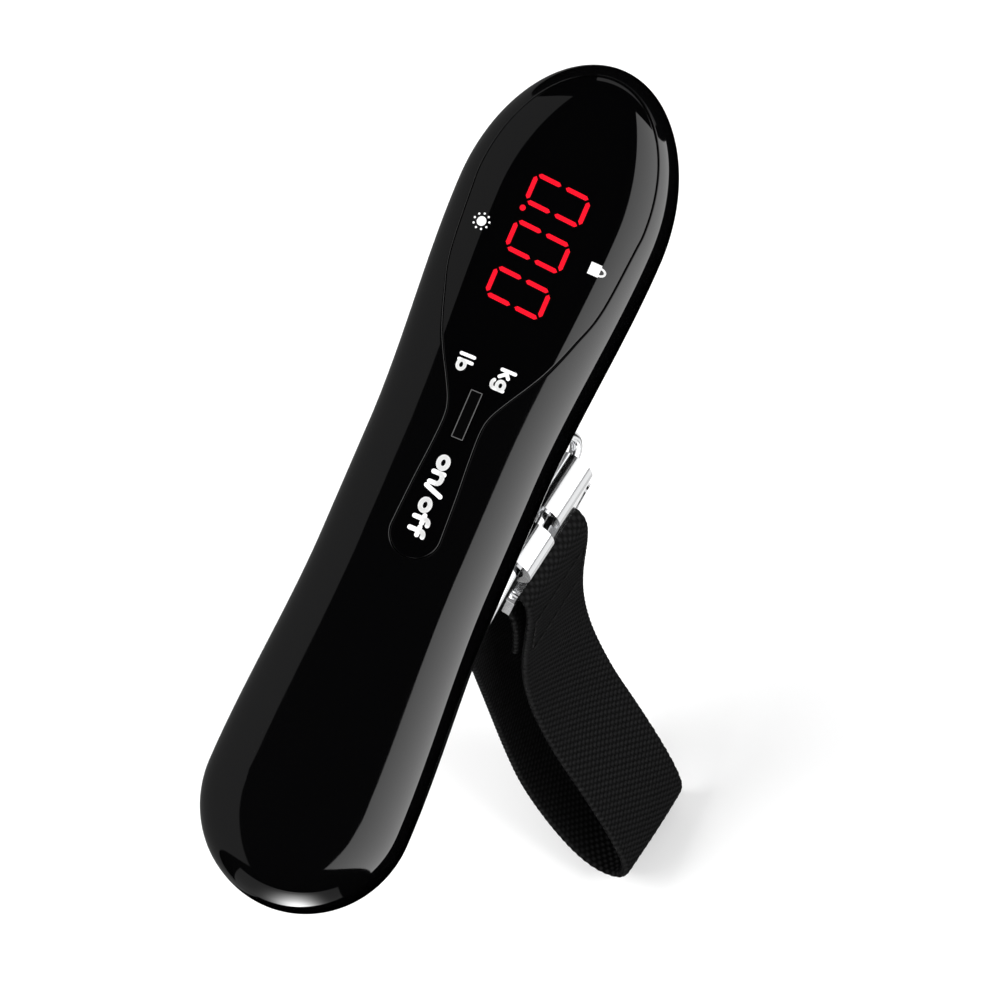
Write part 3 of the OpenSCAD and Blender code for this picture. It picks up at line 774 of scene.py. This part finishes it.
def digit(cx, cy):
    """A seven-bar zero seen across the handle, drawn as six tapered bars with a small slant."""
    h, w, bar = 10.6, 5.6, 0.78
    slant = math.tan(math.radians(4.5))
    out = []

    def tapered(a, b):
        a, b = np.array(a, float), np.array(b, float)
        d = (b - a) / np.linalg.norm(b - a)
        s = np.array([-d[1], d[0]]) * bar / 2
        ring = [a, a + d * 0.42 + s, b - d * 0.42 + s, b, b - d * 0.42 - s, a + d * 0.42 - s]
        ring = np.array(ring)
        # u across (reading direction), v up; slant leans the top forward
        u, v = ring[:, 0] + ring[:, 1] * slant, ring[:, 1]
        return plate_part(np.column_stack([cx - u, cy - v]), 0.03, 0.02)

    g = 0.16
    x0, x1, y0, y1, ym = -w / 2 + bar / 2, w / 2 - bar / 2, -h / 2 + bar / 2, h / 2 - bar / 2, 0
    out.append(tapered([x0 + g + 0.2, y1], [x1 - g - 0.2, y1]))
    out.append(tapered([x0 + g + 0.2, y0], [x1 - g - 0.2, y0]))
    for x in (x0, x1):
        out.append(tapered([x, ym + 0.42], [x, y1 - g - 0.1]))
        out.append(tapered([x, y0 + g + 0.1], [x, ym - 0.42]))
    return out


digits = []
for cx in (50.35, 41.9, 33.45):
    digits += digit(cx, 0.25)
turn_24 = np.linspace(0, 2 * math.pi, 25)[:-1]
point = np.column_stack([47.0 + 0.5 * np.cos(turn_24), 5.2 + 0.5 * np.sin(turn_24)])
digits.append(plate_part(point, 0.03, 0.02))
mark("digits_lit", digits, MAT["digit"], "digit_red", ("digit_segments",))

prints = []
prints += word("lb", 20.75, 4.95, 1.55, 1.25, 0.6)
prints += word("kg", 20.75, -2.45, 1.55, 1.2, 0.62)
prints += word("on/off", 3.6, 1.35, 1.85, 1.28, 0.82)
# sun: a disc with a ring of dots
sx, sy = 42.4, 10.75


def disc(x, y, r, n=24, dz=0.015):
    t = np.arange(n) * 2 * math.pi / n
    return plate_part(np.column_stack([x + r * np.cos(t), y + r * np.sin(t)]), dz=dz)


prints.append(disc(sx, sy, 0.82))
for i in range(9):
    a = i * 2 * math.pi / 9
    prints.append(disc(sx + 1.36 * math.cos(a), sy + 1.36 * math.sin(a), 0.19, 10))
# padlock: body with a shackle, top towards -Y
lx, ly = 42.0, -9.95
lock_x, lock_y = 1.05, 0.95
prints.append(plate_part([[lx + lock_x, ly + lock_y], [lx - lock_x, ly + lock_y],
                          [lx - lock_x, ly - lock_y], [lx + lock_x, ly - lock_y]]))
prints += stroke_part(np.column_stack([lx - 0.1 + 0.62 * np.cos(np.linspace(0, math.pi, 13)),
                                       ly - 0.9 - 0.95 * np.sin(np.linspace(0, math.pi, 13))]), 0.36)
mark("printed_marks", prints, MAT["print"], "led_white")
# A faint grey line that glows a little, just inside the key's edge.
kl, kw = 8.45, 1.95
rect = [[KEY_X - kl / 2, -kw / 2], [KEY_X + kl / 2, -kw / 2],
        [KEY_X + kl / 2, kw / 2], [KEY_X - kl / 2, kw / 2]]
v, f = join(stroke_part(rect, 0.16, closed=True, thick=0.02, dz=-0.042))
key_edge_line = mesh_object("key_outline", v, f, None)
finish_piece(key_edge_line, "unit_key", MAT["line"], "led_white")


# ---------------------------------------------------------------- webbing
LEAN, CANT, RING_SWING, STRAP_SWING, DROP = 8, 10, 30, 17, 22
HOOK_X, ANCHOR_X, STRAP_W, STRAP_T = 8.6, -1.0, 20.0, 1.6
ROUTE = np.array([
    [11.2, 42], [9.6, 36], [8.7, 30.5], [9, 26.5], [9.25, 22.8], [8.7, 20.1], [7.2, 18.9], [5.35, 19.6],
    [4.15, 21.4], [4.1, 24.2], [5.2, 29], [7, 35], [9.2, 42.5], [10.9, 50], [11.8, 58], [11.7, 66],
    [10.4, 76], [7.9, 86], [5.6, 96], [4.2, 105], [4.3, 111.5], [6.6, 115.4], [10.6, 116], [14.2, 113.6],
    [17.2, 108.5], [19.9, 101], [21.8, 92], [22.3, 81.5], [21.7, 70], [20.5, 58], [18.9, 46.5],
    [17.1, 36], [15.2, 27.5], [13.3, 20], [11, 13.2], [9.1, 8.6], [7.5, 6.1], [5.3, 5.95], [3.75, 7.5],
    [3.6, 9.8], [4.9, 12.4], [7, 15], [9.6, 18.2], [11.6, 22.5], [13.1, 27.5]])
joints = {j["name"]: j for j in frame["record"]["behaviour"]["joints"]}
PIVOT = np.array(joints["ring_swing"]["pos_m"]) / MM


def turn(axis, deg):
    c, s = math.cos(math.radians(deg)), math.sin(math.radians(deg))
    round_x, round_y = [[1, 0, 0], [0, c, -s], [0, s, c]], [[c, 0, s], [0, 1, 0], [-s, 0, c]]
    return np.array(round_x if axis == "x" else round_y)


RING = turn("x", -RING_SWING) @ turn("y", LEAN)
BAR = RING @ turn("x", RING_SWING - STRAP_SWING)
BAR_AT = PIVOT + RING @ np.array([0, 0, -DROP])


def in_bar(p):
    return BAR_AT + np.asarray(p) @ BAR.T


def strap_frame():
    """Middle line of the webbing at fine even steps, with each point's share of the route and its length
    along it; strap_at works out the normal and x shift from these.
    """
    n = len(ROUTE)
    p = np.vstack([ROUTE[:1], ROUTE, ROUTE[-1:]])
    pts, idx = [], []
    for i in range(n - 1):
        a, b, c, d = p[i], p[i + 1], p[i + 2], p[i + 3]
        for u in np.arange(24) / 24:
            pts.append(0.5 * (2 * b + (c - a) * u + (2 * a - 5 * b + 4 * c - d) * u * u
                              + (3 * b - a - 3 * c + d) * u ** 3))
            idx.append(i + u)
    pts.append(ROUTE[-1])
    idx.append(n - 1)
    pts, idx = np.array(pts), np.array(idx)
    d = np.concatenate([[0], np.cumsum(np.linalg.norm(np.diff(pts, axis=0), axis=1))])
    return pts, idx / (n - 1), d


S_PTS, S_FRAC, S_LEN = strap_frame()
STRAP_LEN = float(S_LEN[-1])


def strap_at(s, e, off):
    """Row-frame points of the webbing: s along, e across, off out from its middle, all mm arrays."""
    y, z = np.interp(s, S_LEN, S_PTS[:, 0]), np.interp(s, S_LEN, S_PTS[:, 1])
    h = 0.9
    ty = np.interp(s + h, S_LEN, S_PTS[:, 0]) - np.interp(s - h, S_LEN, S_PTS[:, 0])
    tz = np.interp(s + h, S_LEN, S_PTS[:, 1]) - np.interp(s - h, S_LEN, S_PTS[:, 1])
    t = np.hypot(ty, tz)
    ny, nz = tz / t, -ty / t
    y, z = y + ny * off, z + nz * off
    u = np.interp(s, S_LEN, S_FRAC)
    x = HOOK_X + (ANCHOR_X - HOOK_X) * smooth((u - 0.6) / 0.2)
    c, sn = math.cos(math.radians(CANT)), math.sin(math.radians(CANT))
    return in_bar(np.column_stack([x + e * c - z * sn, y, -e * sn - z * c]))


ROW_MM, THREAD_MM = 1.5, 0.8


def webbing():
    step_s, step_e = ROW_MM / 6, THREAD_MM / 3
    ss = np.arange(0, STRAP_LEN + step_s / 2, step_s)
    ss = ss * STRAP_LEN / ss[-1]
    half = STRAP_W / 2
    es = np.arange(-half, half + 1e-6, step_e)
    es = es * half / es[-1] if es[-1] else es
    ns, ne = len(ss), len(es)
    S, E = np.meshgrid(ss, es, indexing="ij")
    S, E = S.ravel(), E.ravel()

    def relief(s, e, shift):
        pick = np.round(e / THREAD_MM)
        phase = (pick % 2) * math.pi
        over = np.cos(2 * math.pi * s / ROW_MM + phase + shift)
        cord = np.abs(np.cos(math.pi * e / THREAD_MM)) ** 0.6
        return 0.08 * over + 0.05 * cord

    edge = np.clip((half - np.abs(E)) / 0.9, 0, 1)
    thick = (STRAP_T / 2 - 0.15) * np.sqrt(np.clip(1 - (1 - edge) ** 2, 0, 1))
    rim = np.clip((0.5 - edge) / 0.5, 0, 1)
    wob = 0.10 * np.sin(2 * math.pi * S / ROW_MM) * (edge < 0.35)
    worn = np.clip(1 - np.abs(S - 118) / 20, 0, 1) ** 0.5
    wob = wob - 0.42 * rim * worn * (E > 0) * np.abs(np.sin(math.pi * S / 3.3)) ** 1.5
    slack = 0.16 * np.sin(S / 11.0) * np.sin(E / 6.0 + 1.2)
    keep = np.clip((np.minimum(S, STRAP_LEN - S) - 45) / 20, 0, 1)
    top = strap_at(S, E + wob * np.sign(E) * 0.6, thick + relief(S, E, 0) * edge + slack * keep)
    low = strap_at(S, E + wob * np.sign(E) * 0.6, -thick - relief(S, E, math.pi) * edge + slack * keep)
    verts = np.vstack([top, low])
    g = grid_faces(ns, ne)
    faces = list(g) + [tuple(ns * ne + i for i in f[::-1]) for f in g]
    k = ns * ne
    for i in range(ns - 1):
        a, b = i * ne, (i + 1) * ne
        faces.append((a, b, k + b, k + a))
        a, b = i * ne + ne - 1, (i + 1) * ne + ne - 1
        faces.append((a, k + a, k + b, b))
    for j in range(ne - 1):
        faces.append((j, k + j, k + j + 1, j + 1))
        a = (ns - 1) * ne + j
        faces.append((a, a + 1, k + a + 1, k + a))
    ob = mesh_object("strap_webbing_woven", verts, faces, None)
    me = ob.data
    me.polygons.foreach_set("use_smooth", [True] * len(me.polygons))
    att = me.attributes.new("weave", "FLOAT_VECTOR", "POINT")
    co = np.column_stack([np.tile(S, 2), np.tile(E, 2), np.repeat([0.0, 1.0], k)]).astype(np.float32)
    att.data.foreach_set("vector", co.ravel())
    face_outward(ob)
    return ob


def webbing_material():
    mat, nt, b = material("webbing_black", (0.003, 0.003, 0.003), rough=0.75, spec=0.09, sheen=0.012)
    b.inputs["Sheen Roughness"].default_value = 0.45
    b.inputs["Sheen Tint"].default_value = (0.6, 0.6, 0.62, 1)
    at = node(nt, "ShaderNodeAttribute")
    at.attribute_name = "weave"
    sep = node(nt, "ShaderNodeSeparateXYZ")
    nt.links.new(at.outputs["Vector"], sep.inputs[0])

    def math_node(op, a, c=None, c2=None):
        m = node(nt, "ShaderNodeMath", operation=op)
        for i, v in enumerate((a, c, c2)):
            if v is None:
                continue
            if isinstance(v, (int, float)):
                m.inputs[i].default_value = v
            else:
                nt.links.new(v, m.inputs[i])
        return m.outputs[0]

    s, e = sep.outputs[0], sep.outputs[1]
    pick = math_node("ROUND", math_node("DIVIDE", e, THREAD_MM))
    odd = math_node("ABSOLUTE", math_node("MODULO", pick, 2.0))
    phase = math_node("MULTIPLY_ADD", s, 2 * math.pi / ROW_MM, math_node("MULTIPLY", odd, math.pi))
    over = math_node("MULTIPLY_ADD", math_node("COSINE", phase), 0.5, 0.5)
    cord = math_node("ABSOLUTE", math_node("COSINE", math_node("MULTIPLY", e, math.pi / THREAD_MM)))
    fibre = node(nt, "ShaderNodeTexNoise", Scale=1.0, Detail=4.0, Roughness=0.6)
    mp = node(nt, "ShaderNodeMapping")
    mp.inputs["Scale"].default_value = (1.6, 9.0, 1.0)
    nt.links.new(at.outputs["Vector"], mp.inputs["Vector"])
    nt.links.new(mp.outputs["Vector"], fibre.inputs["Vector"])
    # Painted light and shade: the weave is coloured lighter on the raised thread tops and darker in the
    # grooves between threads and rows, following the relief built in webbing(); the fibre noise adds random
    # tone.
    over = math_node("POWER", over, 1.5)
    weave_shade_and_fibre_tone = math_node("MULTIPLY", math_node("MULTIPLY_ADD", over, 0.8, 0.08),
                          math_node("MULTIPLY_ADD", cord, 0.6, 0.4))
    weave_shade_and_fibre_tone = math_node("MULTIPLY", weave_shade_and_fibre_tone, math_node("MULTIPLY_ADD", fibre.outputs["Fac"], 0.9, 0.5))
    nt.links.new(mix_colour(nt, weave_shade_and_fibre_tone, (0.0001, 0.0001, 0.0001), (0.0135, 0.0135, 0.014)),
                 b.inputs["Base Color"])
    nt.links.new(ramp(nt, fibre.outputs["Fac"], 0.55, 0.8), b.inputs["Roughness"])
    bump(nt, b, fibre.outputs["Fac"], 0.00012, 0.6)
    return mat


web = webbing()
web_mat = webbing_material()
finish_piece(web, "strap", web_mat, "webbing", "strap_webbing")


def stitch_rows():
    """Box-and-bar stitching through each doubled end, as short raised thread loops."""
    out = []
    thread, length, pitch = 0.26, 1.7, 2.3

    def stitch(s, e, ds, de, off, sign):
        n, m = 9, 8
        rows = []
        for i in range(n):
            u = i / (n - 1)
            arch = math.sin(math.pi * u)
            cs, ce = s + ds * (u - 0.5) * length, e + de * (u - 0.5) * length
            rr = thread * (0.55 + 0.45 * arch)
            ring = []
            for j in range(m):
                a = 2 * math.pi * j / m
                side, up = rr * math.cos(a), rr * 0.7 * math.sin(a)
                ring.append([cs + (-de) * side, ce + ds * side, off + sign * (0.13 * arch + up)])
            rows.append(ring)
        p = np.array(rows).reshape(-1, 3)
        v = strap_at(p[:, 0], p[:, 1], p[:, 2])
        f = grid_faces(n, m, wrap_cols=True)
        f += [tuple(range(m - 1, -1, -1)), tuple(range((n - 1) * m, n * m))]
        out.append((v, f))

    def box_stitch(s0, s1, sign, off):
        for e in (-8.4, 8.4):
            for s in np.arange(s0, s1 + 0.01, pitch):
                stitch(s, e, 1, 0, off, sign)
        for s in (s0 - 0.6, s1 + 0.6):
            for e in np.arange(-7.4, 7.5, pitch):
                stitch(s, e, 0, 1, off, sign)

    face = STRAP_T / 2 - 0.02
    i_hook = float(np.interp(10 / (len(ROUTE) - 1), S_FRAC, S_LEN))
    i_far = float(np.interp(33.4 / (len(ROUTE) - 1), S_FRAC, S_LEN))
    box_stitch(i_hook + 1, i_hook + 12, 1, face)
    box_stitch(i_hook + 1, i_hook + 12, -1, -face)
    box_stitch(i_far - 6, i_far, 1, face)
    v, f = join(out)
    ob = mesh_object("strap_stitches", v, f, None)
    face_outward(ob)
    resmooth(ob, 80)
    return ob


thread_mat = moulded("stitch_thread", (0.006, 0.006, 0.006), (0.6, 0.8), 0.00004, 2500, 1.3)
finish_piece(stitch_rows(), "strap", thread_mat, "webbing")


# ---------------------------------------------------------------- floor, lights, cards, camera
VIEW = np.array([-0.1219, -0.1381, 0.9829])
RIGHT = np.array([0.393, -0.9155, -0.0798])
UP = np.array([0.911, 0.3765, 0.1659])
floor_z = (cad_low[2] / MM) - 0.6


def plane(name, centre, u, v, mat, camera=True, glossy=True, diffuse=True, shadow=True):
    c, u, v = (np.asarray(a, float) for a in (centre, u, v))
    verts = [c - u - v, c + u - v, c + u + v, c - u + v]
    ob = mesh_object(name, verts, [(0, 1, 2, 3)], None)
    ob.data.materials.append(mat)
    ob.visible_camera, ob.visible_glossy = camera, glossy
    ob.visible_diffuse, ob.visible_shadow = diffuse, shadow
    ob.visible_transmission = False
    return ob


floor_mat, fnt, fb = material("floor_pale", (0.93, 0.93, 0.93), rough=0.9, spec=0.1)
grain = object_noise(fnt, 8, 3)
fnt.links.new(mix_colour(fnt, grain.outputs["Fac"], (0.92, 0.92, 0.92), (0.94, 0.94, 0.94)),
              fb.inputs["Base Color"])
plane("floor", [0, 0, floor_z], [3000, 0, 0], [0, 3000, 0], floor_mat, glossy=False)


def card_material(name, colour, strength):
    mat = bpy.data.materials.new(name)
    mat.use_nodes = True
    nt = mat.node_tree
    nt.nodes.clear()
    out = nt.nodes.new("ShaderNodeOutputMaterial")
    em = nt.nodes.new("ShaderNodeEmission")
    em.inputs[0].default_value = (*colour, 1)
    em.inputs[1].default_value = strength
    nt.links.new(em.outputs[0], out.inputs[0])
    return mat


def card(name, angle0, angle1, radius, x0, x1, mat):
    """A strip of a drum along the handle, seen only in reflections: angles from straight up, + to +Y."""
    n = 24
    v, f = [], []
    for i in range(n + 1):
        a = math.radians(angle0 + (angle1 - angle0) * i / n)
        for x in (x0, x1):
            v.append([x, radius * math.sin(a), radius * math.cos(a)])
    for i in range(n):
        f.append((2 * i, 2 * i + 1, 2 * i + 3, 2 * i + 2))
    ob = mesh_object(name, v, f, None)
    ob.data.materials.append(mat)
    ob.visible_camera = ob.visible_diffuse = ob.visible_shadow = ob.visible_transmission = False
    return ob


R = 900


def card_gradient(name, at, low, high):
    """Glow that changes across the strip: strength low at angle at[0] and high at at[1], in degrees."""
    mat = card_material(name, (1, 1, 1), 1.0)
    nt = mat.node_tree
    em = next(n for n in nt.nodes if n.type == "EMISSION")
    co = node(nt, "ShaderNodeTexCoord")
    sep = node(nt, "ShaderNodeSeparateXYZ")
    nt.links.new(co.outputs["Object"], sep.inputs[0])
    ang = node(nt, "ShaderNodeMath", operation="ARCTAN2")
    nt.links.new(sep.outputs[1], ang.inputs[0])
    nt.links.new(sep.outputs[2], ang.inputs[1])
    nt.links.new(ramp(nt, ang.outputs[0], low, high, math.radians(at[0]), math.radians(at[1])),
                 em.inputs[1])
    return mat


card("card_side_bright", -17, -99, R, -430, 1000, card_gradient("glow_bright", (-99, -17), 2.4, 0.92))
card("card_side_dim", 29, 166, R, -900, 700, card_material("glow_dim", (1, 1, 1), 0.16))
card("card_top_black", -17, 29, R, -1500, 1500, card_material("flag_black", (0, 0, 0), 0.0))


def end_card(name, centre, half_y, half_z, mat):
    ob = plane(name, centre, [0, half_y, 0], [0, 0, half_z], mat, camera=False, diffuse=False, shadow=False)
    return ob


tail_glow = card_material("glow_tail", (1, 1, 1), 14.0)
tnt = tail_glow.node_tree
co = node(tnt, "ShaderNodeTexCoord")
sep = node(tnt, "ShaderNodeSeparateXYZ")
tnt.links.new(co.outputs["Object"], sep.inputs[0])
across = node(tnt, "ShaderNodeMath", operation="MULTIPLY_ADD")
SPOT_WIDE, SPOT_Y = 0.17, 0.19
across.inputs[1].default_value, across.inputs[2].default_value = 1 / SPOT_WIDE, SPOT_Y / SPOT_WIDE
tnt.links.new(sep.outputs[1], across.inputs[0])
square = node(tnt, "ShaderNodeMath", operation="MULTIPLY")
tnt.links.new(across.outputs[0], square.inputs[0])
tnt.links.new(across.outputs[0], square.inputs[1])
fall = node(tnt, "ShaderNodeMath", operation="POWER")
fall.inputs[0].default_value = math.exp(-1)
tnt.links.new(square.outputs[0], fall.inputs[1])
spot = node(tnt, "ShaderNodeMath", operation="MULTIPLY_ADD")
tnt.links.new(fall.outputs[0], spot.inputs[0])
tnt.links.new(ramp(tnt, sep.outputs[2], 8.5, 0.6, -0.3, 0.3), spot.inputs[1])
spot.inputs[2].default_value = 0.2
tnt.links.new(spot.outputs[0], next(n for n in tnt.nodes if n.type == "EMISSION").inputs[1])
end_card("card_tail_spot", [-860, -150, -200], 620, 560, tail_glow)
end_card("card_head_tip", [860, -120, 330], 420, 90, card_material("glow_head", (1, 1, 1), 0.3))

# a pale tent round the polished metal alone, so that the black mouldings keep their clean reflections
chrome_group = bpy.data.collections.new("polished_metal")
for name in ("load_ring", "hook_plate", "anchor_plate", "load_hook", "load_hook_nut", "shell_screws",
             "beam_screws", "load_beam", "battery_springs", "battery_tabs", "battery_bridge",
             "unit_switch", "touch_spring"):
    chrome_group.objects.link(frame["nodes"][name])


def tent():
    mat = card_material("tent_glow", (1, 1, 1), 0.95)
    nt = mat.node_tree
    em = next(n for n in nt.nodes if n.type == "EMISSION")
    co = node(nt, "ShaderNodeTexCoord")
    n = node(nt, "ShaderNodeTexNoise", Scale=0.9, Detail=2.0, Roughness=0.4)
    nt.links.new(co.outputs["Object"], n.inputs["Vector"])
    nt.links.new(ramp(nt, n.outputs["Fac"], 0.02, 0.9, 0.35, 0.44), em.inputs[1])
    v, rings, cols, r = [], 24, 48, 1600
    for i in range(1, rings):
        a = math.pi * i / rings
        v += [[r * math.sin(a) * math.cos(2 * math.pi * j / cols),
               r * math.sin(a) * math.sin(2 * math.pi * j / cols), r * math.cos(a)]
              for j in range(cols)]
    f = grid_faces(rings - 1, cols, wrap_cols=True)
    top = len(v)
    v += [[0, 0, r], [0, 0, -r]]
    f += [(top, (j + 1) % cols, j) for j in range(cols)]
    last = (rings - 2) * cols
    f += [(top + 1, last + j, last + (j + 1) % cols) for j in range(cols)]
    ob = mesh_object("tent", v, f, None)
    ob.data.materials.append(mat)
    ob.visible_camera = ob.visible_diffuse = ob.visible_shadow = ob.visible_transmission = False
    ob.light_linking.receiver_collection = chrome_group


tent()


def area(name, centre, target, size, power, glossy=False):
    li = bpy.data.lights.new(name, "AREA")
    li.shape, li.size, li.energy = "DISK", size * MM, power
    ob = bpy.data.objects.new(name, li)
    bpy.context.scene.collection.objects.link(ob)
    ob.location = Vector(np.asarray(centre, float) * MM)
    d = Vector((np.asarray(target, float) - np.asarray(centre, float)) * MM)
    ob.rotation_euler = d.to_track_quat("-Z", "Y").to_euler()
    ob.visible_glossy = glossy
    return ob


area("key_soft", [-200, 500, 900], [0, 0, -60], 700, 9.0)
area("fill_soft", [300, -600, 900], [0, -20, -60], 700, 7.0)

world = bpy.data.worlds.new("studio")
bpy.context.scene.world = world
world.use_nodes = True
bg = world.node_tree.nodes["Background"]
bg.inputs[0].default_value = (1, 1, 1, 1)
bg.inputs[1].default_value = 0.62
world.cycles_visibility.glossy = False

cam_data = bpy.data.cameras.new("camera")
cam_data.type = "PERSP"
SENSOR_MM, PX_PER_MM = 36.0, 6.01
cam_data.sensor_width = SENSOR_MM
cam_data.sensor_fit = "HORIZONTAL"
DIST = 1900.0
WIDE = 990 / PX_PER_MM
cam_data.lens = SENSOR_MM * DIST / WIDE
cam_data.clip_start, cam_data.clip_end = 0.05, 20.0
cam = bpy.data.objects.new("camera", cam_data)
bpy.context.scene.collection.objects.link(cam)
centre = RIGHT * (50 / PX_PER_MM) - UP * (9 / PX_PER_MM)
cam.location = Vector((centre + VIEW / np.linalg.norm(VIEW) * DIST) * MM)
rot = np.column_stack([RIGHT / np.linalg.norm(RIGHT), UP / np.linalg.norm(UP), VIEW / np.linalg.norm(VIEW)])
left, _, right = np.linalg.svd(rot)
rot = left @ right
cam.rotation_euler = Matrix(rot.tolist()).to_euler()
bpy.context.scene.camera = cam
bpy.context.scene.view_settings.view_transform = "Standard"
bpy.context.scene.view_settings.look = "None"
